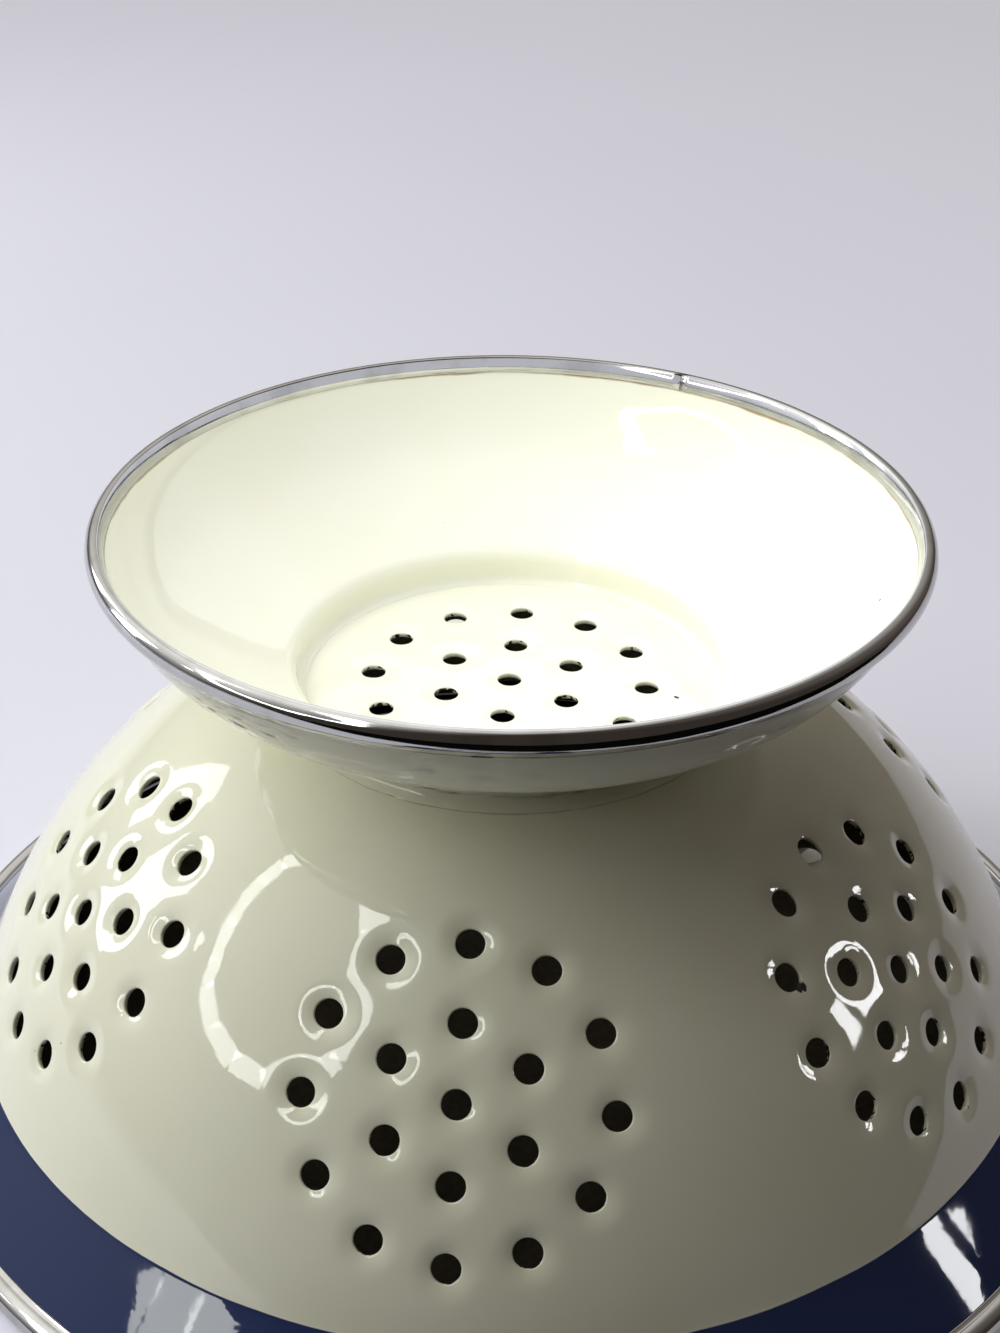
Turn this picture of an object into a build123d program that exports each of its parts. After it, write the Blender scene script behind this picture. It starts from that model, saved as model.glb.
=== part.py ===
from build123d import *
import math
import os

# An enamelled steel colander, standing mouth down on its rim with its foot up, in millimetres.
# The origin is the centre of the plane that the rim stands on, +Z is up, and -Y is the front.

# Sheet and enamel
sheet = 1.2

# Bowl, along its outer face from the middle of the floor to the rim, turned down by the slopes in degrees
floor_margin = 0.6
knee_radius = 61.0
knee_slope = 28.5
shoulder_radius = 97.0
shoulder_slope = 58.0
wall_radius = 145.0
wall_slope = 67.5
crease_radius = 2.5
lip_slope = 45.0
lip_length = 19.5

# Drain holes, one rosette in the floor and more round the side, each a hole inside two rings
hole_diameter = 4.8
inner_ring_radius = 13.0
outer_ring_radius = 26.0
inner_ring_holes = 6
outer_ring_holes = 12
side_rosettes = 6
rosette_slope = 49.2

# Foot, along its outer face from the neck up to its edge, with the slopes above the horizontal in degrees
neck_inner_radius = 40.0
neck_wall = 3.4
neck_bend_radius = 2.0
dish_start_slope = 22.0
dish_radius = 109.0
dish_end_slope = 34.2
flare_radius = 27.5
flare_end_slope = 77.0
foot_weld_leg = 2.0

# Bright bands rolled over the two raw edges
band_radius = 2.4
band_wall = 0.6
band_land = 0.2
band_joint = 0.3
band_joint_azimuth = 156.7

# Ears, one at the front and one at the back, welded to the outside of the lip
ear_sheet = 2.0
ear_rim_margin = 5.5
ear_root_length = 5.5
ear_bend_radius = 3.0
ear_half_width = 42.0
ear_reach = 27.0
ear_corner_radius = 20.0
finger_half_width = 29.0
finger_depth = 14.0
finger_corner_radius = 6.5
ear_bar = 9.0
ear_weld_leg = 1.4

# Values worked out from the sizes above
overrun = 4 * sheet
lip_turn = wall_slope - lip_slope
band_bottom = band_radius - band_land


def heading(slope):
    """Direction in the half plane of radius and height, for a slope above the horizontal."""
    return Vector(math.cos(math.radians(slope)), math.sin(math.radians(slope)))


def left_of(direction):
    return Vector(-direction.Y, direction.X)


def chain(start, direction, legs, shift):
    """Lines and tangent arcs that run shift to the left of a path of (length, 0) and (radius, turn) legs."""
    edges = []
    at = start + left_of(direction) * shift
    for size, turn in legs:
        if turn == 0:
            edge = Line(at, at + direction * size)
        else:
            radius = size - shift if turn > 0 else size + shift
            edge = JernArc(start=at, tangent=direction, radius=radius, arc_size=turn)
        edges.append(edge)
        at = edge @ 1
        direction = edge % 1
    return edges


def skin(start, direction, legs, thickness):
    """Face of a bent sheet, between a path and the same path set off to its left by the thickness."""
    near = chain(start, direction, legs, 0)
    far = chain(start, direction, legs, thickness)
    caps = [Line(near[0] @ 0, far[0] @ 0), Line(near[-1] @ 1, far[-1] @ 1)]
    return make_face(near + far + caps)


def path_end(start, direction, legs, shift):
    return chain(start, direction, legs, shift)[-1] @ 1


def turned(face):
    """The solid that a face in the half plane of radius and height sweeps round the axis."""
    return revolve(Plane.XZ * face, Axis.Z, 360)


def upright(direction):
    """Turn that brings something at the front round to an azimuth, from the front towards +X."""
    return Rot(0, 0, direction)


# Bowl path, first laid from a floor at height zero, to learn how far the rim lies below it
floor_radius = outer_ring_radius + hole_diameter / 2 + floor_margin
bowl_legs = [
    (floor_radius, 0),
    (knee_radius, -knee_slope),
    (shoulder_radius, knee_slope - shoulder_slope),
    (wall_radius, shoulder_slope - wall_slope),
    (crease_radius, lip_turn),
    (lip_length, 0),
]
outwards = heading(0)
rim_below_floor = -path_end(Vector(0, 0), outwards, bowl_legs, -sheet / 2).Y
floor_height = band_bottom + rim_below_floor
bowl_start = Vector(0, floor_height)
rim_edge = path_end(bowl_start, outwards, bowl_legs, -sheet / 2)

# Foot path, from inside the bowl's floor up through the neck and out to the edge
neck_radius = neck_inner_radius + sheet
foot_start = Vector(neck_radius, floor_height - overrun)
foot_legs = [
    (overrun + neck_wall, 0),
    (neck_bend_radius, dish_start_slope - 90),
    (dish_radius, dish_end_slope - dish_start_slope),
    (flare_radius, flare_end_slope - dish_end_slope),
]
upwards = heading(90)
foot_edge = path_end(foot_start, upwards, foot_legs, sheet / 2)
total_height = foot_edge.Y + band_bottom


def bowl_blank():
    """The pressed bowl before it is pierced."""
    return turned(skin(bowl_start, outwards, bowl_legs, -sheet))


def bowl_core():
    """Everything below the bowl's outer face, which trims what stands on it."""
    edges = chain(bowl_start, outwards, bowl_legs, 0)
    corner = edges[-1] @ 1
    bottom = Vector(corner.X, -overrun)
    closing = Polyline(corner, bottom, Vector(0, -overrun), bowl_start)
    return turned(make_face(edges + [closing]))


def rosette():
    """Punches for one rosette, standing along +Z round the origin."""
    rings = [(0, 1), (inner_ring_radius, inner_ring_holes), (outer_ring_radius, outer_ring_holes)]
    punches = []
    for radius, count in rings:
        punch = Pos(0, radius) * Cylinder(hole_diameter / 2, outer_ring_radius)
        punches += [Rot(0, 0, 360 * index / count) * punch for index in range(count)]
    return punches


def rosette_places():
    """Where each rosette's middle lies, with its punches square to the sheet there."""
    shoulder_start = path_end(bowl_start, outwards, bowl_legs[:2], 0)
    reach = [(shoulder_radius, knee_slope - rosette_slope)]
    middle = path_end(shoulder_start, heading(-knee_slope), reach, 0)
    places = [Pos(0, 0, floor_height)]
    for index in range(side_rosettes):
        lean = Pos(0, -middle.X, middle.Y) * Rot(rosette_slope, 0, 0)
        places.append(upright(360 * index / side_rosettes) * lean)
    return places


def bowl():
    punches = [place * punch for place in rosette_places() for punch in rosette()]
    return bowl_blank() - punches


def foot_blank():
    return turned(skin(foot_start, upwards, foot_legs, sheet))


def foot():
    return foot_blank() - bowl_core()


def foot_weld():
    """Bead round the outside of the neck, where the foot is welded to the bowl."""
    corner = Vector(neck_radius, floor_height - overrun)
    top = Vector(neck_radius, floor_height + foot_weld_leg - neck_drop())
    side = Vector(neck_radius + foot_weld_leg, floor_height - overrun)
    low = Vector(neck_radius + foot_weld_leg, floor_height - neck_drop())
    bead = make_face([Line(corner, top), Line(top, low), Line(low, side), Line(side, corner)])
    return turned(bead) - bowl_core()


def neck_drop():
    """How far the bowl's outer face has fallen from the floor where the neck stands on it."""
    beyond = max(neck_radius - floor_radius, 0)
    return knee_radius - math.sqrt(knee_radius**2 - beyond**2)


def band(edge, blank, land_side):
    """Bright band rolled over a sheet's edge, with a narrow land to stand on and a butt joint."""
    ring = Circle(band_radius) - Circle(band_radius - band_wall)
    rolled = turned(Pos(edge.X, edge.Y) * ring) - blank
    land = Box(4 * edge.X, 4 * edge.X, band_radius, align=(Align.CENTER, Align.CENTER, Align.MIN))
    level = edge.Y + band_bottom if land_side > 0 else edge.Y - band_bottom - band_radius
    slit = Pos(0, -edge.X, edge.Y) * Box(band_joint, 4 * band_radius, 4 * band_radius)
    return rolled - Pos(0, 0, level) * land - upright(band_joint_azimuth) * slit


def ear_path():
    """Lower face of an ear: it lies on the lip, then bends level and runs out past the rim."""
    crease = path_end(bowl_start, outwards, bowl_legs[:-1], 0)
    start = crease + heading(-lip_slope) * (lip_length - ear_rim_margin - ear_root_length)
    root = [(ear_root_length, 0), (ear_bend_radius + ear_sheet, lip_slope)]
    bend_end = path_end(start, heading(-lip_slope), root, 0)
    level_length = rim_edge.X + band_radius + ear_reach - bend_end.X
    return start, root + [(level_length, 0)]


def ear(azimuth):
    start, legs = ear_path()
    plate = turned(skin(start, heading(-lip_slope), legs, ear_sheet))
    outer = rim_edge.X + band_radius + ear_reach
    inner = start.X - overrun
    outline = outer_outline(inner, outer, ear_half_width, ear_corner_radius)
    opening_outer = outer - ear_bar
    opening_middle = opening_outer - finger_depth / 2
    opening = RectangleRounded(2 * finger_half_width, finger_depth, finger_corner_radius)
    stack = extrude(outline - Pos(0, -opening_middle) * opening, floor_height)
    return upright(azimuth) * (plate & stack)


def outer_outline(inner, outer, half_width, corner):
    """Plan of an ear at the front: straight sides, and a curved end struck from the bowl's axis."""
    block = Pos(0, -(inner + outer) / 2) * Rectangle(2 * half_width, outer - inner)
    disc = Circle(outer)
    tongue = block & disc
    ends = tongue.vertices().sort_by(Axis.Y)[:2]
    return fillet(ends, corner)


def ear_welds():
    """A bead along the upper edge of each ear's root."""
    start, _ = ear_path()
    down = heading(-lip_slope)
    out = left_of(down)
    back = start - down * ear_weld_leg
    tip = start + out * ear_weld_leg
    bead = turned(make_face(Polyline(start, back, tip, start)))
    inner = start.X - overrun
    width = 2 * ear_half_width - 2 * overrun
    keep = Pos(0, -inner, floor_height / 2) * Box(width, 4 * overrun, floor_height)
    return [upright(azimuth) * (bead & keep) for azimuth in (0, 180)]


nodes = {
    "bowl": bowl(),
    "foot": foot(),
    "foot_weld": foot_weld(),
    "foot_band": band(foot_edge, foot_blank(), 1),
    "rim_band": band(rim_edge, bowl_blank(), -1),
    "ear_front": ear(0),
    "ear_back": ear(180),
    "ear_welds": Compound(children=[solid for bead in ear_welds() for solid in bead.solids()]),
}

os.makedirs("parts", exist_ok=True)
for name, shape in nodes.items():
    export_step(shape, f"parts/{name}.step")
print("rim radius", round(rim_edge.X + band_radius, 2), "total height", round(total_height, 2))
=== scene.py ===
import bmesh
import bpy
import math
from mathutils import Matrix, Vector, geometry, noise


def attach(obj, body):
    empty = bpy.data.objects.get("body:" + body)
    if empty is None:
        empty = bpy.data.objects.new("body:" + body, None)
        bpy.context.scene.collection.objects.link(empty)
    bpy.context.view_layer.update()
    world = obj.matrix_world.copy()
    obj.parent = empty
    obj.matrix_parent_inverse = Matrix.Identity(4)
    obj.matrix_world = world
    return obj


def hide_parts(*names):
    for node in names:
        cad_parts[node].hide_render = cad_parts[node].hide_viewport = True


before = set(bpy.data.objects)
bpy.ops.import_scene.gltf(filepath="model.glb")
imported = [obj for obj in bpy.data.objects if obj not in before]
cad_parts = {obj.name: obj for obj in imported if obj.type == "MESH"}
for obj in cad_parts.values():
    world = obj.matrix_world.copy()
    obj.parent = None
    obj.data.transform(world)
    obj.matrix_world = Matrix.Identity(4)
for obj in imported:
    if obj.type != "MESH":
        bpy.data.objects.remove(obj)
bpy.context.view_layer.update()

# The bowl
# One sheet of steel, pressed round and pierced from outside in rosettes of nineteen holes, each of
# which draws the sheet in a little. Cream glass enamel covers it, and the lip is dipped in navy.
mm = 0.001
sheet = 1.2 * mm
floor_height = 79.81 * mm
floor_radius = 29.0 * mm
knee_radius = 61.0 * mm
knee_turn = math.radians(28.5)
shoulder_radius = 97.0 * mm
shoulder_turn = math.radians(29.5)
wall_radius = 145.0 * mm
wall_turn = math.radians(9.5)
crease_radius = 2.5 * mm
crease_turn = math.radians(22.5)
lip_length = 19.5 * mm
bowl_legs = [
    (floor_radius, 0),
    (knee_radius, -knee_turn),
    (shoulder_radius, -shoulder_turn),
    (wall_radius, -wall_turn),
    (crease_radius, crease_turn),
    (lip_length, 0),
]
hole_radius = 2.4 * mm
floor_hole_radius = 2.15 * mm
rings = [(0, 1), (13.0 * mm, 6), (26.0 * mm, 12)]
rosette_slope = math.radians(49.2)
rosette_count = 6
rosette_strain = 36.0 * mm
strain_fade = 10.0 * mm
plain_ripple = 0.012 * mm
dimple_ripple = 0.06 * mm
rosette_ripple = 0.045 * mm
dimple_radius = 6.2 * mm
dimple_depth = 0.62 * mm
dimple_steps = [0.84, 0.67, 0.5, 0.35, 0.22, 0.1, 0]
hole_sides = 26
hole_edge = 0.32 * mm
grain = 2.4 * mm
turns = 180
join = 0.01 * mm
cream = (0.86, 0.855, 0.70, 1)
cream_pooled = (0.81, 0.80, 0.60, 1)
navy = (0.018, 0.032, 0.105, 1)
bare_edge = (0.028, 0.022, 0.016, 1)
chip_ragged = 1.1 * mm
chip_edge = (0.60 * mm, 0.50 * mm)
dip_wander = 0.5 * mm
dip_edge = (0.1 * mm, 0.3 * mm)
wear_edge = (1.13, 1.14)
enamel_wave = 0.1 * mm
slug_wave = 0.2 * mm
slug_radius = 2.05 * mm
slug_sheet = 0.5 * mm
slug_edge = 0.18 * mm
slug_metal = 0.6
slug_light = (0.84, 0.83, 0.82, 1)
slug_dark = (0.76, 0.75, 0.74, 1)

# each chip's turn from the front in degrees, its reach from the floor's middle and its size in millimetres
bowl_chips = [
    (44.1, 85.8, 1.15), (-1.8, 94.6, 0.35), (15.7, 96.6, 0.35), (5.6, 100.6, 0.35), (67.6, 120.4, 0.4),
    (60.4, 123.5, 0.4), (52.0, 120.2, 0.4), (44.9, 110.8, 0.3), (-54.0, 119.1, 0.35), (48.7, 74.8, 0.35),
    (-18.3, 84.8, 0.3), (-50.0, 112.6, 0.2), (83.3, 31.9, 0.4),
]

# each slug's turn and reach, its place across, along and into the hole, its swing and tilt, and its stretch
slugs = [
    (60.0, 68.1, -1.25, -0.1, 0.85, 12.0, -37.0, 1.28),
    (-149.6, 26.1, 0.6, 1.9, 0.75, 0.0, 4.0, 1.0),
]


def follow(start, slope, legs, length):
    """Radius, height and slope at a length along a path of lines (length, 0) and arcs (radius, turn)."""
    radius, height = start
    for size, turn in legs:
        step = min(length, abs(size * turn) if turn else size)
        if turn:
            side = math.copysign(1, turn)
            after = slope + side * step / size
            radius += side * size * (math.sin(after) - math.sin(slope))
            height -= side * size * (math.cos(after) - math.cos(slope))
            slope = after
        else:
            radius += step * math.cos(slope)
            height += step * math.sin(slope)
        length -= step
        if length <= 0:
            break
    return radius, height, slope


def leg_ends(legs):
    """Lengths along a path at which its legs end, from zero."""
    ends = [0]
    for size, turn in legs:
        ends.append(ends[-1] + (abs(size * turn) if turn else size))
    return ends


def bowl_at(reach):
    """Radius, height and slope of the bowl's outer face at a reach from the floor's middle."""
    return follow((0, floor_height), 0, bowl_legs, reach)


def on_bowl(turn, reach, sink=0):
    """Point of the bowl's outer face, or sunk below it, at an angle from the front and a reach."""
    radius, height, slope = bowl_at(reach)
    radius += math.sin(slope) * sink
    height -= math.cos(slope) * sink
    return Vector((radius * math.sin(turn), -radius * math.cos(turn), height))


knee_end, _, wall_end, crease_end, lip_end = leg_ends(bowl_legs)[2:]
rosette_reach = knee_end + shoulder_radius * (rosette_slope - knee_turn)
rosette_radius = bowl_at(rosette_reach)[0]
lean = Matrix.Translation(on_bowl(0, rosette_reach)) @ Matrix.Rotation(rosette_slope, 4, "X")
upright = Matrix.Translation((0, 0, floor_height))


def side_spot(u, v):
    """Angle and reach where a punch at u across and v up a side rosette meets the bowl."""
    turn, reach = 0, rosette_reach
    for _ in range(8):
        local = lean.inverted() @ on_bowl(turn, reach)
        turn += (u - local.x) / rosette_radius
        reach -= v - local.y
    return turn, reach


def floor_spot(u, v):
    """Angle and reach where a punch at u across and v back on the floor meets the bowl."""
    radius = math.hypot(u, v)
    reach = radius
    for _ in range(8):
        reach += radius - bowl_at(reach)[0]
    return math.atan2(u, -v), reach


def filled(loops, seeds):
    """Triangles between an outer loop and the loops inside it, which also use the seed points."""
    points = [point for loop in loops for point in loop] + seeds
    edges, owner = [], {}
    first = 0
    for number, loop in enumerate(loops):
        for index in range(len(loop)):
            edges.append((first + index, first + (index + 1) % len(loop)))
            owner[first + index] = number
        first += len(loop)
    corners, _, faces, sources, _, _ = geometry.delaunay_2d_cdt(points, edges, [], 1, 1e-9, True)
    whose = [owner.get(source[0], -1) for source in sources]
    kept = []
    for face in faces:
        owners = {whose[corner] for corner in face}
        if len(owners) > 1 or owners <= {0, -1}:
            kept.append(face)
    return corners, kept, whose


def smooth_dip(share):
    """Depth of a dimple, as a share of its deepest, at a share of the way from the hole to its edge."""
    return (1 - share) ** 2


def pierced(outline, spread, spot, place, to_flat, from_flat, punch):
    """Outer face of the bowl round one rosette, with a dimple drawn in round each hole."""
    holes = [(radius * math.sin(math.tau * k / count), radius * math.cos(math.tau * k / count))
             for radius, count in rings for k in range(count)]
    around = [math.tau * k / hole_sides for k in range(hole_sides)]
    loops = [outline]
    for u, v in holes:
        rim = [spot(u + dimple_radius * math.cos(a), v + dimple_radius * math.sin(a)) for a in around]
        loops.append([to_flat(*at) for at in rim])
    centres = [to_flat(*spot(u, v)) for u, v in holes]
    clear = dimple_radius + 0.75 * grain
    seeds = [seed for seed in spread if all((seed - centre).length > clear for centre in centres)]
    corners, faces, whose = filled(loops, seeds)
    bm = bmesh.new()
    near = bm.verts.layers.float.new("near_hole")
    along = bm.verts.layers.float.new("reach")
    verts = []
    for corner in corners:
        turn, reach = from_flat(corner)
        vert = bm.verts.new(on_bowl(turn, reach))
        vert[along] = reach
        verts.append(vert)
    for face in faces:
        bm.faces.new([verts[corner] for corner in face])
    back = place.inverted()
    for number, (u, v) in enumerate(holes, 1):
        ring = {vert for vert, owner in zip(verts, whose) if owner == number}
        for share in dimple_steps:
            edges = [edge for edge in bm.edges if edge.is_boundary and set(edge.verts) <= ring]
            made = bmesh.ops.extrude_edge_only(bm, edges=edges)["geom"]
            ring = {item for item in made if isinstance(item, bmesh.types.BMVert)}
            reach_out = punch + share * (dimple_radius - punch)
            for vert in ring:
                local = back @ vert.co
                angle = math.atan2(local.y - v, local.x - u)
                turn, reach = spot(u + reach_out * math.cos(angle), v + reach_out * math.sin(angle))
                vert.co = on_bowl(turn, reach, dimple_depth * smooth_dip(share))
                vert[near] = 1 - share
                vert[along] = reach
    return bm


def spread_over(low, high):
    """Seed points in staggered rows over a rectangle."""
    rows = int((high.y - low.y) / (grain * math.sqrt(0.75)))
    seeds = []
    for row in range(1, rows):
        y = low.y + (high.y - low.y) * row / rows
        x = low.x + grain * (0.75 + 0.5 * (row % 2))
        while x < high.x - grain * 0.6:
            seeds.append(Vector((x, y)))
            x += grain
    return seeds


def ring_of(bm, reaches):
    """A whole ring of the bowl's outer face, spun from a line through the given reaches."""
    along = bm.verts.layers.float["reach"]
    line = []
    for reach in reaches:
        vert = bm.verts.new(on_bowl(0, reach))
        vert[along] = reach
        line.append(vert)
    edges = [bm.edges.new(pair) for pair in zip(line, line[1:])]
    bmesh.ops.spin(bm, geom=line + edges, axis=(0, 0, 1), angle=math.tau, steps=turns, use_merge=True)


def evenly(start, end, count):
    return [start + (end - start) * k / count for k in range(count + 1)]


def stretches(ends, counts):
    """Lengths along a path, with each stretch between two of its ends cut into a count of parts."""
    lengths = ends[:1]
    for start, end, count in zip(ends, ends[1:], counts):
        lengths += evenly(start, end, count)[1:]
    return lengths


def rounded(bm, edges, offset, segments):
    """Rounds the edges of a mesh."""
    bmesh.ops.bevel(bm, geom=edges, offset=offset, offset_type="OFFSET", segments=segments, profile=0.5,
                    affect="EDGES", material=-1)


floor_edge = 33.0 * mm
side_top = 61.5 * mm
side_bottom = 127.6 * mm
half_side = math.pi / rosette_count
step_turn = math.tau / turns


# the floor's rosette, inside a round outline, and one side rosette, laid out flat by angle and reach
def floor_to_flat(turn, reach):
    radius = bowl_at(reach)[0]
    return Vector((radius * math.sin(turn), -radius * math.cos(turn)))


def floor_from_flat(point):
    return floor_spot(point.x, point.y)


floor_outline = [floor_to_flat(step_turn * k, floor_edge) for k in range(turns)]
floor_flat_radius = floor_outline[0].length
corner = Vector((floor_flat_radius, floor_flat_radius))
floor_spread = [seed for seed in spread_over(-corner, corner) if seed.length < floor_flat_radius - 0.5 * grain]
floor_sheet = pierced(floor_outline, floor_spread, floor_spot, upright, floor_to_flat, floor_from_flat,
                      floor_hole_radius)
sector_steps = turns // rosette_count
sector_rows = 26


def side_to_flat(turn, reach):
    return Vector((turn * rosette_radius, -reach))


def side_from_flat(point):
    return point.x / rosette_radius, -point.y


across = evenly(-half_side, half_side, sector_steps)
down = evenly(side_top, side_bottom, sector_rows)
side_outline = [side_to_flat(turn, side_bottom) for turn in across[:-1]]
side_outline += [side_to_flat(half_side, reach) for reach in reversed(down[1:])]
side_outline += [side_to_flat(turn, side_top) for turn in reversed(across[1:])]
side_outline += [side_to_flat(-half_side, reach) for reach in down[:-1]]
side_spread = spread_over(side_to_flat(-half_side, side_bottom), side_to_flat(half_side, side_top))
bowl_mesh = pierced(side_outline, side_spread, side_spot, lean, side_to_flat, side_from_flat, hole_radius)
others = rosette_count - 1
bmesh.ops.spin(bowl_mesh, geom=bowl_mesh.verts[:] + bowl_mesh.edges[:] + bowl_mesh.faces[:], axis=(0, 0, 1),
               angle=math.tau * others / rosette_count, steps=others, use_duplicate=True)

# the plain rings between the rosettes and out to the lip's edge
ring_of(bowl_mesh, evenly(floor_edge, side_top, 12))
ring_of(bowl_mesh, stretches([side_bottom, wall_end, crease_end, lip_end], (3, 4, 8)))
floor_copy = bpy.data.meshes.new("floor_sheet")
floor_sheet.to_mesh(floor_copy)
bowl_mesh.from_mesh(floor_copy)
floor_sheet.free()
bmesh.ops.remove_doubles(bowl_mesh, verts=bowl_mesh.verts, dist=join)
bmesh.ops.recalc_face_normals(bowl_mesh, faces=bowl_mesh.faces)
bowl_mesh.faces.ensure_lookup_table()
if sum(face.normal.z * face.calc_area() for face in bowl_mesh.faces) < 0:
    bmesh.ops.reverse_faces(bowl_mesh, faces=bowl_mesh.faces)
bowl_mesh.normal_update()
near_layer = bowl_mesh.verts.layers.float["near_hole"]
reach_layer = bowl_mesh.verts.layers.float["reach"]


def strained(vert):
    """How much the piercing has strained the sheet, from 1 in a rosette to 0 out of it."""
    sector = math.tau / rosette_count
    turn = (math.atan2(vert.co.x, -vert.co.y) + sector / 2) % sector - sector / 2
    side = math.hypot(turn * rosette_radius, vert[reach_layer] - rosette_reach)
    return max(0, min(1, (rosette_strain - min(side, vert[reach_layer])) / strain_fade))


for vert in bowl_mesh.verts:
    ripple = (plain_ripple + dimple_ripple * vert[near_layer]) * noise.noise(vert.co * 260)
    ripple += rosette_ripple * strained(vert) * noise.noise(vert.co * 120)
    vert.co += vert.normal * ripple
inside_layer = bowl_mesh.verts.layers.float.new("inside")
outer_count = len(bowl_mesh.verts)
bmesh.ops.solidify(bowl_mesh, geom=bowl_mesh.faces[:], thickness=sheet)
bowl_mesh.verts.ensure_lookup_table()
for vert in bowl_mesh.verts[outer_count:]:
    vert[inside_layer] = 1
near_layer = bowl_mesh.verts.layers.float["near_hole"]
hole_rims = [edge for edge in bowl_mesh.edges
             if all(vert[near_layer] > 0.99 for vert in edge.verts)
             and edge.verts[0][inside_layer] == edge.verts[1][inside_layer]]
rounded(bowl_mesh, hole_rims, hole_edge, 3)


def made_of(bm, name, material):
    """Makes an object of a finished mesh, in one material."""
    mesh = bpy.data.meshes.new(name)
    bm.to_mesh(mesh)
    bm.free()
    mesh.materials.append(material)
    piece = bpy.data.objects.new(name, mesh)
    bpy.context.collection.objects.link(piece)
    return piece


def shown(bm, name, material, node):
    """Makes a smooth piece of a finished mesh, in place of its CAD node."""
    piece = made_of(bm, name, material)
    piece.data.polygons.foreach_set("use_smooth", [True] * len(piece.data.polygons))
    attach(piece, "root")
    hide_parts(node)
    return piece


class Graph:
    """A material's nodes, added one at a time and linked as they are added."""

    def __init__(self, name):
        self.material = bpy.data.materials.new(name)
        self.material.use_nodes = True
        self.tree = self.material.node_tree
        self.shader = self.tree.nodes["Principled BSDF"]

    def add(self, kind, inputs=(), **settings):
        made = self.tree.nodes.new("ShaderNode" + kind)
        for key, value in settings.items():
            setattr(made, key, value)
        for key, value in dict(inputs).items():
            if isinstance(value, bpy.types.NodeSocket):
                self.tree.links.new(value, made.inputs[key])
            else:
                made.inputs[key].default_value = value
        return made

    def place(self):
        return self.add("TexCoord").outputs["Object"]

    def noise(self, scale, detail=2.0, vector=None):
        inputs = {"Vector": vector or self.place(), "Scale": scale, "Detail": detail}
        return self.add("TexNoise", inputs).outputs["Fac"]

    def maths(self, operation, *values):
        return self.add("Math", enumerate(values), operation=operation).outputs[0]

    def ramp(self, value, low, high, to_low=0.0, to_high=1.0):
        inputs = {"Value": value, "From Min": low, "From Max": high, "To Min": to_low, "To Max": to_high}
        return self.add("MapRange", inputs, interpolation_type="SMOOTHSTEP").outputs["Result"]

    def mix(self, share, first, second):
        inputs = {"Factor": share, 6: first, 7: second}
        return self.add("Mix", inputs, data_type="RGBA").outputs[2]

    def chipped(self, chips, colour):
        """The colour with a small dark chip of a given size at each place."""
        least = 1.0
        for place, size in chips:
            gap = self.add("VectorMath", {0: self.place(), 1: place}, operation="DISTANCE").outputs["Value"]
            least = self.maths("MINIMUM", self.maths("SUBTRACT", gap, size), least)
        ragged = self.maths("ADD", least, self.maths("MULTIPLY", self.noise(1300.0, 2.0), chip_ragged))
        return self.mix(self.ramp(ragged, *chip_edge), colour, bare_edge)

    def value(self, name):
        return self.add("Attribute", attribute_name=name).outputs["Fac"]

    def drive(self, socket, value):
        if isinstance(value, bpy.types.NodeSocket):
            self.tree.links.new(value, self.shader.inputs[socket])
        else:
            self.shader.inputs[socket].default_value = value

    def bump(self, height, distance):
        made = self.add("Bump", {"Height": height, "Distance": distance, "Strength": 1.0})
        self.tree.links.new(made.outputs["Normal"], self.shader.inputs["Normal"])


def enamel_colour(graph, thin, thick):
    """Glass enamel's even colour, a little deeper where it ran thick, with a few dark specks."""
    flow = graph.ramp(graph.noise(38.0, 3.0), 0.35, 0.75, 0.0, 0.35)
    body = graph.mix(flow, thin, thick)
    cells = graph.add("TexVoronoi", {"Vector": graph.place(), "Scale": 75.0})
    pick = graph.add("SeparateColor", {"Color": cells.outputs["Color"]}).outputs["Red"]
    rare = graph.ramp(pick, 0.93, 0.94)
    dot = graph.ramp(cells.outputs["Distance"], 0.02, 0.012)
    return graph.mix(graph.maths("MULTIPLY", rare, dot), body, bare_edge)


def enamel_surface(graph, wave=enamel_wave):
    """Fired glass: very smooth, with the slow unevenness that it sets with."""
    fine = graph.maths("MULTIPLY", graph.noise(420.0, 1.0), 0.08)
    graph.bump(graph.maths("ADD", graph.noise(60.0, 1.0), fine), wave)
    graph.drive("Roughness", graph.ramp(graph.noise(90.0, 2.0), 0.3, 0.8, 0.02, 0.07))
    graph.drive("IOR", 1.52)


bowl_paint = Graph("bowl_enamel")
body = enamel_colour(bowl_paint, cream, cream_pooled)
wander = bowl_paint.maths("MULTIPLY", bowl_paint.noise(60.0, 1.0), dip_wander)
dip_line = bowl_paint.maths("SUBTRACT", bowl_paint.value("reach"), wander)
dipped = bowl_paint.ramp(dip_line, wall_end + dip_edge[0], wall_end + dip_edge[1])
two_tone = bowl_paint.mix(dipped, body, navy)
bite = bowl_paint.maths("MULTIPLY", bowl_paint.noise(900.0, 2.0), 0.12)
patch = bowl_paint.maths("MULTIPLY", bowl_paint.noise(75.0, 1.0), 0.12)
wear = bowl_paint.maths("ADD", bowl_paint.maths("ADD", bite, patch), bowl_paint.value("near_hole"))
worn = bowl_paint.ramp(wear, *wear_edge)
chips = [(on_bowl(math.radians(turn), reach * mm), size * mm) for turn, reach, size in bowl_chips]
bowl_paint.drive("Base Color", bowl_paint.chipped(chips, bowl_paint.mix(worn, two_tone, bare_edge)))
enamel_surface(bowl_paint)
bowl_piece = shown(bowl_mesh, "pierced_bowl", bowl_paint.material, "bowl")


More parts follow.
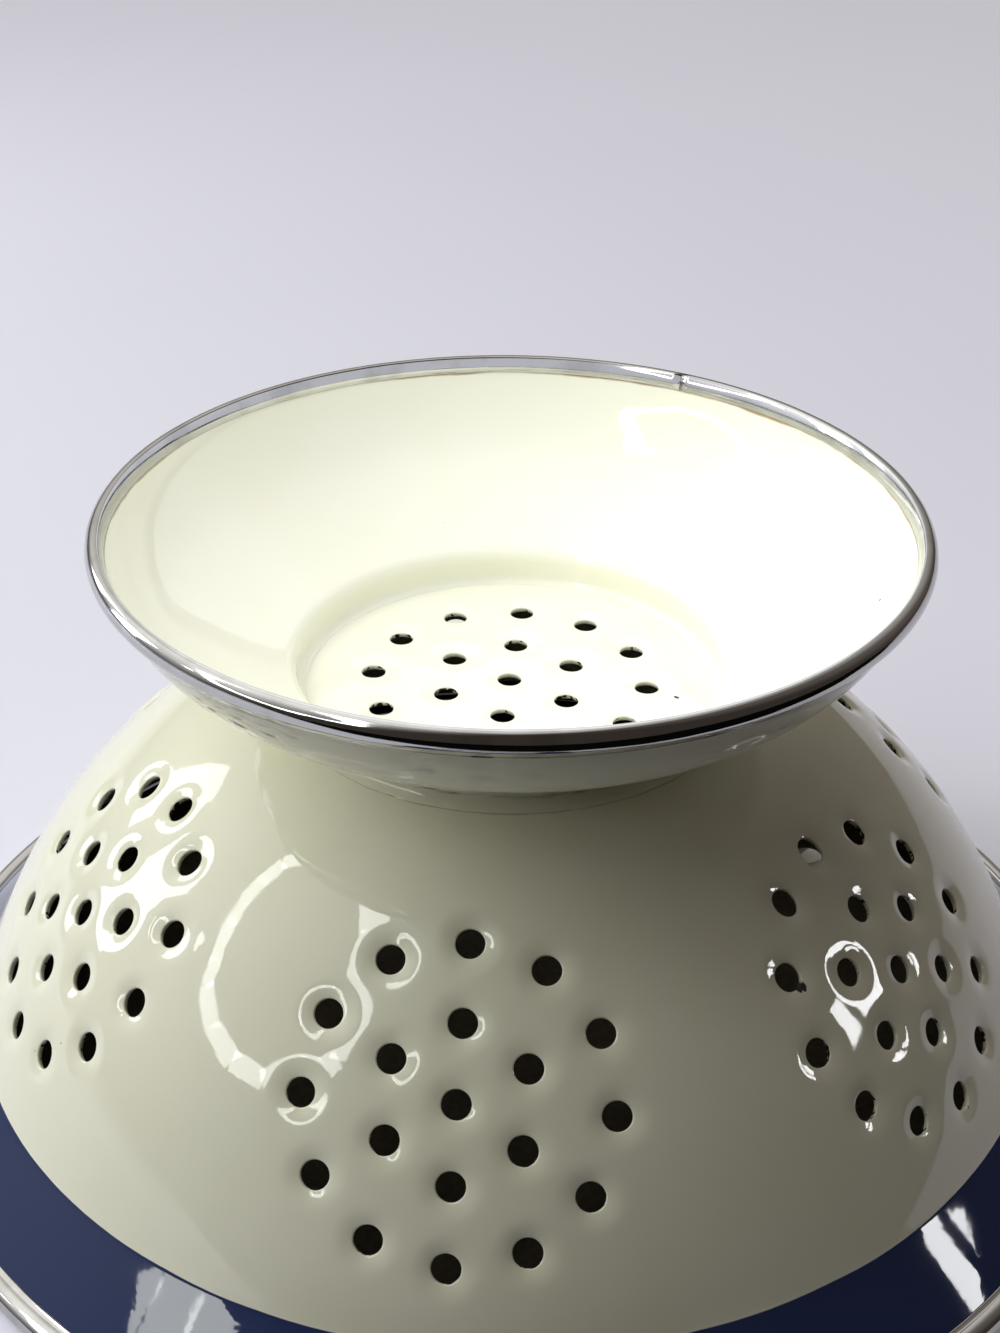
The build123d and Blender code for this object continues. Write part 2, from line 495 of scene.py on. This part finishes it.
def seat(turn, reach):
    """Frame on the bowl's outer face, with X across to the right, Y up the slope and Z out of the sheet."""
    origin = on_bowl(turn, reach)
    up_slope = (on_bowl(turn, reach - mm) - origin).normalized()
    across = Vector((math.cos(turn), math.sin(turn), 0))
    turned = Matrix((across, up_slope, across.cross(up_slope))).transposed()
    return Matrix.Translation(origin) @ turned.to_4x4()


# slugs that the punch left hanging in two of the holes
slug_paint = Graph("slug_enamel")
slug_paint.drive("Base Color", enamel_colour(slug_paint, slug_light, slug_dark))
slug_paint.drive("Metallic", slug_metal)
enamel_surface(slug_paint, slug_wave)
for number, (turn, reach, across, along, sink, swing, tilt, stretch) in enumerate(slugs, 1):
    slug = bmesh.new()
    bmesh.ops.create_circle(slug, cap_ends=True, segments=24, radius=slug_radius)
    bmesh.ops.solidify(slug, geom=slug.faces[:], thickness=slug_sheet)
    rounded(slug, [edge for edge in slug.edges if edge.calc_face_angle(0) > 1], slug_edge, 3)
    bmesh.ops.recalc_face_normals(slug, faces=slug.faces)
    place = seat(math.radians(turn), reach * mm) @ Matrix.Translation(Vector((across, along, -sink)) * mm)
    place = place @ Matrix.Rotation(math.radians(swing), 4, "Z") @ Matrix.Rotation(math.radians(tilt), 4, "X")
    place = place @ Matrix.Scale(stretch, 4, (0, 1, 0))
    bmesh.ops.transform(slug, matrix=place, verts=slug.verts)
    shown(slug, f"hanging_slug_{number}", slug_paint.material, "bowl")


# The foot
# A flared saucer pressed from the same sheet, with a short neck that stands on the bowl's floor.
# It is cream enamel inside and out, and its raw edge goes up into the bright band.
neck_radius = 41.2 * mm
neck_length = 4.75 * mm
neck_bend_radius = 2.0 * mm
neck_bend_turn = math.radians(68.0)
dish_radius = 109.0 * mm
dish_turn = math.radians(12.2)
flare_radius = 27.5 * mm
flare_turn = math.radians(42.8)
neck_drop = 1.35 * mm
neck_start = (neck_radius, floor_height - neck_drop)
foot_legs = [
    (neck_length, 0),
    (neck_bend_radius, -neck_bend_turn),
    (dish_radius, dish_turn),
    (flare_radius, flare_turn),
]
pool_radius = 1.7 * mm
pool_steps = 6
pool_sink = 0.3 * mm
band_stain = (0.30, 0.17, 0.045, 1)
stain_strength = 0.85
stain_start = 112.4 * mm
stain_full = 112.9 * mm
stain_creep = 2.2 * mm

# each chip's place and size in millimetres
foot_chips = [(67.1, -1.2, 101.3, 0.3), (-18.3, 44.9, 89.0, 0.25)]


def offset(place, side):
    """A point set off to the left of a path's place, which is its radius, height and slope."""
    radius, height, slope = place
    return Vector((radius - math.sin(slope) * side, 0, height + math.cos(slope) * side))


def spun(outline, steps=turns, start=0.0, angle=math.tau):
    """Solid swept round the axis by a closed outline of (radius, 0, height) points."""
    bm = bmesh.new()
    verts = [bm.verts.new(point) for point in outline]
    edges = [bm.edges.new((verts[k - 1], verts[k])) for k in range(len(verts))]
    bmesh.ops.rotate(bm, verts=verts, matrix=Matrix.Rotation(start - math.pi / 2, 3, "Z"))
    whole = angle >= math.tau
    bmesh.ops.spin(bm, geom=verts + edges, axis=(0, 0, 1), angle=angle, steps=steps, use_merge=whole)
    if not whole:
        bmesh.ops.holes_fill(bm, edges=[edge for edge in bm.edges if edge.is_boundary])
    bmesh.ops.recalc_face_normals(bm, faces=bm.faces)
    return bm


def drop_at(radius):
    """How far the bowl has fallen from its floor at a radius beyond the flat."""
    return knee_radius - math.sqrt(knee_radius ** 2 - (radius - floor_radius) ** 2)


foot_ends = leg_ends(foot_legs)
foot_path = [follow(neck_start, math.pi / 2, foot_legs, length)
             for length in stretches(foot_ends, (3, 7, 10, 14))]
foot_outline = [offset(place, 0) for place in foot_path]
inner_wall = neck_radius - sheet
pool_foot = floor_height - drop_at(inner_wall - pool_radius)
foot_outline += [point for point in (offset(place, sheet) for place in reversed(foot_path))
                 if point.z > pool_foot + pool_radius]
for k in range(pool_steps + 1):
    angle = math.pi / 2 * k / pool_steps
    foot_outline.append(Vector((inner_wall - pool_radius * (1 - math.cos(angle)), 0,
                                pool_foot + pool_radius * (1 - math.sin(angle)))))
foot_outline.append(Vector((inner_wall - pool_radius, 0, pool_foot - pool_sink)))
foot_outline.append(Vector((inner_wall, 0, neck_start[1])))
foot_paint = Graph("foot_enamel")
body = enamel_colour(foot_paint, cream, cream_pooled)
apart = foot_paint.add("SeparateXYZ", {"Vector": foot_paint.place()})
streaks = foot_paint.maths("MULTIPLY", foot_paint.noise(45.0, 4.0), stain_creep)
creep = foot_paint.maths("ADD", apart.outputs["Z"], streaks)
stained = foot_paint.ramp(creep, stain_start, stain_full, 0.0, stain_strength)
chips = [(Vector((x, y, z)) * mm, size * mm) for x, y, z, size in foot_chips]
foot_paint.drive("Base Color", foot_paint.chipped(chips, foot_paint.mix(stained, body, band_stain)))
enamel_surface(foot_paint)
shown(spun(foot_outline), "flared_foot", foot_paint.material, "foot")


# The foot's weld
# The bead round the outside of the neck that holds the foot to the bowl. It was laid by hand before
# enamelling, so it is a little uneven, and the enamel has run smooth over it.
weld_leg = 2.0 * mm
weld_steps = 8
weld_sink = 0.2 * mm
weld_unevenness = 0.15 * mm


def uneven(bm, amount, scale):
    """Moves a mesh's corners a little along their normals, as handwork and heat leave a surface."""
    bm.normal_update()
    for vert in bm.verts:
        vert.co += vert.normal * amount * noise.noise(vert.co * scale)


bead = []
for k in range(weld_steps + 1):
    angle = math.pi / 2 * k / weld_steps
    radius = neck_radius + weld_leg * (1 - math.sin(angle))
    rise = weld_leg * (1 - math.cos(angle))
    bead.append(Vector((radius, 0, floor_height - drop_at(radius) + rise)))
bead.append(Vector((neck_radius, 0, floor_height - drop_at(neck_radius) - weld_sink)))
bead_mesh = spun(bead)
uneven(bead_mesh, weld_unevenness, 260)
weld_paint = Graph("weld_enamel")
weld_paint.drive("Base Color", enamel_colour(weld_paint, cream, cream_pooled))
enamel_surface(weld_paint)
shown(bead_mesh, "neck_weld", weld_paint.material, "foot_weld")


# The two edge bands
# Strips of bright stainless steel rolled over the raw edges of the foot and of the lip, each with a
# narrow flange pressed down on both sides of the sheet, and with its ends butted together.
band_radius = 2.4 * mm
band_land = 2.2 * mm
flange_reach = 2.95 * mm
foot_inner_reach = 1.1 * mm
flange_rise = 0.3 * mm
flange_round = 0.12 * mm
band_gap = 0.16 * mm
band_joint = math.radians(156.7)
band_sides = 30
band_turns = 240
band_unevenness = 0.035 * mm
draw_lines = 900.0
draw_depth = 0.01 * mm
steel = (0.52, 0.52, 0.515, 1)
tarnished = (0.33, 0.32, 0.31, 1)
lip_edge = bowl_at(lip_end)
foot_edge = follow(neck_start, math.pi / 2, foot_legs, foot_ends[-1])


def band_outline(middle, slope, upper):
    """Section of a band round a sheet's edge, where the sheet comes in along the slope."""
    back = Vector((-math.cos(slope), 0, -math.sin(slope)))
    side = Vector((math.sin(slope), 0, -math.cos(slope)))
    proud = sheet / 2 + flange_rise
    first = math.asin(proud / band_radius)
    points = [back * flange_reach + side * sheet / 2]
    points.append(back * flange_reach + side * (proud - flange_round))
    points.append(back * (flange_reach - flange_round) + side * proud)
    far_reach = foot_inner_reach if upper else flange_reach
    for k in range(band_sides + 1):
        angle = first + (math.tau - 2 * first) * k / band_sides
        bulge = proud if upper and angle > math.pi else band_radius
        if bulge < band_radius and math.cos(angle) > 0:
            break
        points.append(back * math.cos(angle) * band_radius + side * math.sin(angle) * bulge)
    points.append(back * (far_reach - flange_round) - side * proud)
    points.append(back * far_reach - side * (proud - flange_round))
    points.append(back * far_reach - side * sheet / 2)
    placed = []
    for point in points:
        height = min(point.z, band_land) if upper else max(point.z, -band_land)
        placed.append(middle + Vector((point.x, 0, height)))
    return placed


def band(name, node, place, side, upper):
    middle = offset(place, side)
    outline = band_outline(middle, place[2], upper)
    opening = band_gap / middle.x
    bm = spun(outline, band_turns, band_joint + opening / 2, math.tau - opening)
    uneven(bm, band_unevenness, 90)
    for vert in bm.verts:
        vert.co.z = min(vert.co.z, middle.z + band_land) if upper else max(vert.co.z, middle.z - band_land)
    shown(bm, name, band_steel.material, node)


band_steel = Graph("band_steel")
apart = band_steel.add("SeparateXYZ", {"Vector": band_steel.place()})
round_about = band_steel.maths("ARCTAN2", apart.outputs["Y"], apart.outputs["X"])
across_flat = band_steel.add("VectorMath", {0: band_steel.place(), 1: (1.0, 1.0, 0.0)}, operation="MULTIPLY")
from_axis = band_steel.add("VectorMath", {0: across_flat.outputs[0]}, operation="LENGTH").outputs["Value"]
drawn = band_steel.add("CombineXYZ", {"X": round_about,
                                      "Y": band_steel.maths("MULTIPLY", from_axis, draw_lines),
                                      "Z": band_steel.maths("MULTIPLY", apart.outputs["Z"], draw_lines)})
lines = band_steel.noise(3.0, 3.0, drawn.outputs[0])
tarnish = band_steel.ramp(band_steel.noise(120.0, 3.0), 0.45, 0.75, 0.0, 0.5)
band_steel.drive("Base Color", band_steel.mix(tarnish, steel, tarnished))
band_steel.drive("Metallic", 1.0)
band_steel.drive("Roughness", band_steel.ramp(lines, 0.3, 0.7, 0.05, 0.13))
band_steel.bump(lines, draw_depth)
band("foot_edge_band", "foot_band", foot_edge, sheet / 2, True)
band("lip_edge_band", "rim_band", lip_edge, -sheet / 2, False)


# The ears
# Two plates pressed from thicker sheet, each with a slot for the fingers. They lie on the lip, bend
# level past the rim, and are dipped in the same navy enamel as the lip.
ear_sheet = 2.0 * mm
ear_rim_margin = 5.5 * mm
ear_root_length = 5.5 * mm
ear_bend_radius = 3.0 * mm
ear_half_width = 42.0 * mm
ear_reach = 27.0 * mm
ear_corner = 20.0 * mm
finger_half_width = 29.0 * mm
finger_depth = 14.0 * mm
finger_corner = 6.5 * mm
ear_bar = 9.0 * mm
ear_grain = 2.2 * mm
ear_rounding = 0.7 * mm
ear_level_length = 80.0 * mm
ear_length_limit = 90.0 * mm
navy_pooled = (0.012, 0.022, 0.08, 1)
lip_slope = math.radians(45.0)
crease = bowl_at(crease_end)
root_start = lip_end - crease_end - ear_rim_margin - ear_root_length
ear_start = (crease[0] + root_start * math.cos(lip_slope), crease[1] - root_start * math.sin(lip_slope))
ear_legs = [(ear_root_length, 0), (ear_bend_radius + ear_sheet, lip_slope), (ear_level_length, 0)]
ear_outer = offset(lip_edge, -sheet / 2).x + band_radius + ear_reach


def ear_height(radius):
    """Height of an ear's lower face at a radius, along its root, its bend and its level plate."""
    low, high = 0, ear_length_limit
    for _ in range(40):
        middle = (low + high) / 2
        if follow(ear_start, -lip_slope, ear_legs, middle)[0] < radius:
            low = middle
        else:
            high = middle
    return follow(ear_start, -lip_slope, ear_legs, low)[1]


def arc(centre, radius, start, end, count):
    return [centre + radius * Vector((math.cos(start + (end - start) * k / count),
                                      math.sin(start + (end - start) * k / count))) for k in range(count + 1)]


def thinned(points, spacing):
    """Evenly spaced points round a closed outline."""
    closed = points + points[:1]
    lengths = [(b - a).length for a, b in zip(closed, closed[1:])]
    count = round(sum(lengths) / spacing)
    made = []
    for k in range(count):
        left = sum(lengths) * k / count
        for a, b, length in zip(closed, closed[1:], lengths):
            if left <= length:
                made.append(a.lerp(b, left / length))
                break
            left -= length
    return made


def ear_plan():
    """Outline of the front ear, seen from above: straight sides, round corners and a curved end."""
    inner_ring = ear_start[0]
    corner_ring = ear_outer - ear_corner
    swing = math.asin((ear_half_width - ear_corner) / corner_ring)
    right = Vector((corner_ring * math.sin(swing), -corner_ring * math.cos(swing)))
    left = Vector((-right.x, right.y))
    side_swing = math.asin(ear_half_width / inner_ring)
    origin = Vector((0, 0))
    points = arc(origin, inner_ring, -math.pi / 2 + side_swing, -math.pi / 2 - side_swing, 24)
    points += arc(left, ear_corner, -math.pi, -math.pi / 2 - swing, 12)
    points += arc(origin, ear_outer, -math.pi / 2 - swing, -math.pi / 2 + swing, 12)[1:-1]
    points += arc(right, ear_corner, -math.pi / 2 + swing, 0, 12)
    return points


def slot_plan():
    """Outline of the finger slot, a round-cornered rectangle."""
    middle = Vector((0, -(ear_outer - ear_bar - finger_depth / 2)))
    wide, deep = finger_half_width - finger_corner, finger_depth / 2 - finger_corner
    points = []
    for quarter, (x, y) in enumerate(((wide, deep), (-wide, deep), (-wide, -deep), (wide, -deep))):
        start = quarter * math.pi / 2
        points += arc(middle + Vector((x, y)), finger_corner, start, start + math.pi / 2, 8)
    return points


def inside(point, outline):
    """Whether a flat point lies inside a closed outline."""
    found = False
    for a, b in zip(outline, outline[1:] + outline[:1]):
        if (a.y > point.y) != (b.y > point.y) and point.x < a.x + (point.y - a.y) / (b.y - a.y) * (b.x - a.x):
            found = not found
    return found


def ear_mesh(angle):
    outline = thinned(ear_plan(), ear_grain)
    slot = thinned(slot_plan(), ear_grain * 0.8)
    low = Vector((-ear_half_width, -ear_outer))
    high = Vector((ear_half_width, -ear_start[0] * 0.9))
    seeds = []
    for seed in spread_over(low, high):
        room = min((seed - point).length for point in outline + slot)
        if room > 0.7 * ear_grain and inside(seed, outline) and not inside(seed, slot):
            seeds.append(seed)
    corners, faces, _ = filled([outline, slot], seeds)
    bm = bmesh.new()
    verts = [bm.verts.new((point.x, point.y, ear_height(point.length))) for point in corners]
    for face in faces:
        centre = sum((corners[index] for index in face), Vector((0, 0))) / 3
        if inside(centre, outline) and not inside(centre, slot):
            bm.faces.new([verts[index] for index in face])
    bmesh.ops.delete(bm, geom=[vert for vert in bm.verts if not vert.link_faces], context="VERTS")
    bmesh.ops.recalc_face_normals(bm, faces=bm.faces)
    if bm.faces[:][0].normal.z > 0:
        bmesh.ops.reverse_faces(bm, faces=bm.faces)
    bmesh.ops.solidify(bm, geom=bm.faces[:], thickness=ear_sheet)
    sharp = [edge for edge in bm.edges if edge.calc_face_angle(0) > math.radians(60)]
    rounded(bm, sharp, ear_rounding, 4)
    bmesh.ops.rotate(bm, verts=bm.verts, matrix=Matrix.Rotation(angle, 3, "Z"))
    return bm


def navy_enamel(name):
    """Navy glass enamel, deeper where it ran thick."""
    paint = Graph(name)
    depth = paint.ramp(paint.noise(50.0, 3.0), 0.35, 0.75)
    paint.drive("Base Color", paint.mix(depth, navy, navy_pooled))
    enamel_surface(paint)
    return paint.material


ear_enamel = navy_enamel("ear_enamel")
shown(ear_mesh(0), "front_ear", ear_enamel, "ear_front")
shown(ear_mesh(math.pi), "back_ear", ear_enamel, "ear_back")


# The ears' welds
# A short bead along the upper edge of each ear's root, under the same enamel.
ear_weld_leg = 1.4 * mm
ear_weld_half = 37.0 * mm
ear_weld_sink = 0.1 * mm
ear_weld_steps = 6
ear_weld_turns = 60
ear_weld_unevenness = 0.25 * mm


def ear_weld(angle):
    down = Vector((math.cos(lip_slope), 0, -math.sin(lip_slope)))
    out = Vector((math.sin(lip_slope), 0, math.cos(lip_slope)))
    start = Vector((ear_start[0], 0, ear_start[1]))
    section = [start + down * ear_weld_sink, start - down * ear_weld_leg]
    for k in range(1, ear_weld_steps):
        turn = math.pi / 2 * k / ear_weld_steps
        section.append(start - down * ear_weld_leg * math.cos(turn) + out * ear_weld_leg * math.sin(turn))
    section.append(start + out * ear_weld_leg + down * ear_weld_sink)
    half = math.asin(ear_weld_half / start.x)
    bm = spun(section, ear_weld_turns, angle - half, 2 * half)
    uneven(bm, ear_weld_unevenness, 330)
    return bm


ear_weld_enamel = navy_enamel("ear_weld_enamel")
for name, angle in (("front_ear_weld", 0), ("back_ear_weld", math.pi)):
    shown(ear_weld(angle), name, ear_weld_enamel, "ear_welds")


# The floor
# A plain pale sheet under the colander, which reaches past the frame on every side. Inside the rim lies
# a dark disc of painted shade, standing in for the shade under the colander, so that nothing pale shows
# through the drain holes.
floor_half = 6.0
floor_colour = (0.80, 0.805, 0.93, 1)
floor_shade = (0.78, 0.785, 0.91, 1)
floor_lift = (0.11, 0.11, 0.12, 1)
# painted shade: a dark disc inside the rim, a little darker at random, stands in for the shade under the
# colander
shade_disc_radius = 116.8 * mm
shade_disc_thickness = 0.5 * mm
shade_disc_sides = 96
shade_disc_colour = (0.13, 0.105, 0.075, 1)
shade_disc_darker = (0.10, 0.08, 0.055, 1)


def laid(bm, name, material):
    """Makes an object of a finished mesh, for the floor and what lies on it."""
    piece = made_of(bm, name, material)
    return piece


ground = bmesh.new()
bmesh.ops.create_grid(ground, x_segments=1, y_segments=1, size=floor_half)
floor_paint = Graph("pale_floor")
tint = floor_paint.ramp(floor_paint.noise(3.0, 2.0), 0.3, 0.7)
floor_paint.drive("Base Color", floor_paint.mix(tint, floor_colour, floor_shade))
floor_paint.drive("Roughness", 0.9)
path = floor_paint.add("LightPath")
looked_at = floor_paint.maths("ADD", path.outputs["Is Camera Ray"], path.outputs["Is Glossy Ray"])
floor_paint.drive("Emission Strength", looked_at)
floor_paint.drive("Emission Color", floor_lift)
laid(ground, "pale_floor", floor_paint.material)
# the disc of painted shade inside the rim
shade_disc = bmesh.new()
bmesh.ops.create_cone(shade_disc, cap_ends=True, segments=shade_disc_sides, radius1=shade_disc_radius, radius2=shade_disc_radius,
                      depth=shade_disc_thickness)
bmesh.ops.translate(shade_disc, verts=shade_disc.verts, vec=(0, 0, shade_disc_thickness / 2))
shade_disc_paint = Graph("painted_shade_disc")
shade_disc_mottle = shade_disc_paint.ramp(shade_disc_paint.noise(800.0, 3.0), 0.3, 0.7)
shade_disc_paint.drive("Base Color", shade_disc_paint.mix(shade_disc_mottle, shade_disc_colour, shade_disc_darker))
shade_disc_paint.drive("Roughness", 0.95)
laid(shade_disc, "painted_shade_disc", shade_disc_paint.material)


# The light
# Daylight from high up behind and at the left, a window of two panes and a ring lamp at the left, two small
# panes at the right that gleam on the bowl alone, and a round lamp over the foot. The room in front is dim
# and warm, and a black card there keeps the floor's light off the colander's front.
room_glow = (0.056, 0.046, 0.038)

# each patch's azimuth from the front and elevation in degrees, the cosine at its edge, and its colour
sky_patches = [
    (-100, 45, 0.6, (0.63, 0.635, 0.63)),
    (-135, 50, 0.6, (0.66, 0.645, 0.60)),
    (-170, 42, 0.6, (0.26, 0.255, 0.24)),
    (145, 48, 0.55, (0.12, 0.105, 0.10)),
]

# each pane's azimuth, elevation, width, height and glow
left_window = {
    "left_window_rear": (-122, 21, 0.15, 0.36, 4.8),
    "left_window_front": (-103, 18, 0.20, 0.40, 6.4),
}
right_window = {
    "right_window_front": (86, 17.5, 0.07, 0.16, 15.0),
    "right_window_rear": (94, 17.5, 0.13, 0.16, 15.0),
}
left_light = (0.95, 0.98, 1.0)
right_light = (0.97, 0.98, 1.0)
foot_lamp_size = 0.143
foot_lamp_height = 0.118
foot_lamp_glow = 0.90
foot_light = (0.87, 0.90, 1.0)

# the ring lamp's middle line, as azimuth, elevation and width
ring_lamp = [
    (-96.4, 53.9, 0.049), (-95.8, 49.6, 0.061), (-91.1, 45.2, 0.060), (-83.2, 37.5, 0.050),
    (-76.8, 32.0, 0.050), (-73.4, 28.2, 0.056), (-64.9, 24.8, 0.073), (-57.0, 23.2, 0.079),
    (-48.9, 24.3, 0.076), (-42.7, 30.3, 0.073), (-37.9, 33.0, 0.073), (-35.5, 36.8, 0.076),
    (-36.4, 42.0, 0.076), (-39.7, 47.8, 0.078), (-45.5, 53.1, 0.073), (-55.4, 61.1, 0.085),
    (-70.9, 65.6, 0.134),
]
ring_side = (-84, 29.5, 0.035, 0.06)
ring_overlap = 1.04
ring_glow = 7.5
ring_light = (0.97, 1.0, 0.95)
lamp_aim = Vector((0, 0, 0.06))
lamp_distance = 1.0
card_turn = 30
card_reach = 152.0 * mm
card_size = 6.0
card_black = (0.004, 0.004, 0.004, 1)
card_worn = (0.007, 0.007, 0.007, 1)


def toward_sky(azimuth, elevation):
    """Direction at an azimuth from the front towards the right and an elevation, in degrees."""
    a, e = math.radians(azimuth), math.radians(elevation)
    return Vector((math.sin(a) * math.cos(e), -math.cos(a) * math.cos(e), math.sin(e)))


world = bpy.data.worlds.new("room")
bpy.context.scene.world = world
world.use_nodes = True
nodes, links = world.node_tree.nodes, world.node_tree.links
background = nodes["Background"]
background.inputs["Strength"].default_value = 1.0
where = nodes.new("ShaderNodeTexCoord")
sky = None
for azimuth, elevation, edge, colour in sky_patches:
    toward = nodes.new("ShaderNodeVectorMath")
    toward.operation = "DOT_PRODUCT"
    toward.inputs[1].default_value = toward_sky(azimuth, elevation)
    links.new(where.outputs["Generated"], toward.inputs[0])
    share = nodes.new("ShaderNodeMapRange")
    share.interpolation_type = "SMOOTHSTEP"
    share.inputs["From Min"].default_value = edge
    links.new(toward.outputs["Value"], share.inputs["Value"])
    patch = nodes.new("ShaderNodeVectorMath")
    patch.operation = "MULTIPLY_ADD"
    patch.inputs[1].default_value = colour
    patch.inputs[2].default_value = room_glow
    links.new(share.outputs["Result"], patch.inputs[0])
    if sky:
        links.new(sky, patch.inputs[2])
    sky = patch.outputs["Vector"]
links.new(sky, background.inputs["Color"])


def lamp_at(name, shape, width, height, glow, colour, middle, turn):
    """Flat lamp of a given glow, where 1 is as bright as white paper, facing down its own turned Z."""
    lamp = bpy.data.lights.new(name, "AREA")
    lamp.shape = shape
    lamp.size, lamp.size_y = width, height
    area = width * height * (math.pi / 4 if shape == "ELLIPSE" else 1)
    lamp.energy = glow * math.pi * area
    lamp.color = colour
    holder = bpy.data.objects.new(name, lamp)
    holder.matrix_world = Matrix.Translation(middle) @ turn.to_4x4()
    holder.visible_camera = False
    bpy.context.collection.objects.link(holder)
    return holder


def window(name, colour, azimuth, elevation, width, height, glow):
    """Flat lamp at a place in the sky, upright and facing the colander."""
    direction = toward_sky(azimuth, elevation)
    turn = direction.to_track_quat("Z", "Y").to_matrix()
    return lamp_at(name, "RECTANGLE", width, height, glow, colour, lamp_aim + direction * lamp_distance, turn)


for name, pane in left_window.items():
    window(name, left_light, *pane)
lit = bpy.data.collections.new("lit_from_the_right")
lit.objects.link(bowl_piece)
for name, pane in right_window.items():
    gleam = window(name, right_light, *pane)
    gleam.visible_diffuse = False
    gleam.light_linking.receiver_collection = lit
lamp_at("foot_lamp", "ELLIPSE", foot_lamp_size, foot_lamp_size, foot_lamp_glow, foot_light,
        Vector((0, 0, foot_lamp_height)), Matrix.Identity(3))
window("ring_lamp_side", ring_light, *ring_side, ring_glow)
for number, (first, second) in enumerate(zip(ring_lamp, ring_lamp[1:])):
    a, b = toward_sky(*first[:2]), toward_sky(*second[:2])
    outward = ((a + b) / 2).normalized()
    sideways = (b - a).normalized()
    turn = Matrix((sideways, outward.cross(sideways), outward)).transposed()
    part = lamp_at(f"ring_lamp_{number}", "RECTANGLE", (b - a).length * ring_overlap,
                   (first[2] + second[2]) / 2, ring_glow, ring_light, lamp_aim + outward * lamp_distance, turn)
    part.visible_diffuse = first[0] < -50 or first[1] > 40
card = bmesh.new()
bmesh.ops.create_grid(card, x_segments=1, y_segments=1, size=card_size)
card_middle = toward_sky(card_turn, 0) * (card_reach + card_size)
bmesh.ops.translate(card, verts=card.verts, vec=card_middle + Vector((0, 0, mm)))
bmesh.ops.rotate(card, cent=card_middle, verts=card.verts,
                 matrix=Matrix.Rotation(math.radians(card_turn), 3, "Z"))
card_paint = Graph("black_card")
card_paint.drive("Base Color", card_paint.mix(card_paint.noise(20.0), card_black, card_worn))
card_paint.drive("Roughness", 1.0)
card_paint.drive("Specular IOR Level", 0.0)
black_card = laid(card, "black_card", card_paint.material)
black_card.visible_camera = False
black_card.visible_shadow = False


# The camera
# It looks down at the foot from the front, close enough that the lip runs out of the frame.
camera_distance = 323.3 * mm
camera_height = 273.2 * mm
camera_azimuth = math.radians(5.2037)
camera_aside = math.radians(0.321)
camera_pitch = math.radians(30.596)
camera_roll = math.radians(0.527)
sensor_width = 36.0
lens_length = 53.73
nearest_seen = 0.01
camera = bpy.data.cameras.new("camera")
camera.sensor_width = sensor_width
camera.lens = lens_length
camera.clip_start = nearest_seen
holder = bpy.data.objects.new("camera", camera)
look = Matrix.Rotation(camera_azimuth + camera_aside, 4, "Z")
look = look @ Matrix.Rotation(math.pi / 2 - camera_pitch, 4, "X") @ Matrix.Rotation(camera_roll, 4, "Z")
stand = Matrix.Rotation(camera_azimuth, 4, "Z") @ Vector((0, -camera_distance, camera_height))
holder.matrix_world = Matrix.Translation(stand) @ look
bpy.context.collection.objects.link(holder)
bpy.context.scene.camera = holder

view = bpy.context.scene.view_settings
view.view_transform = "Standard"
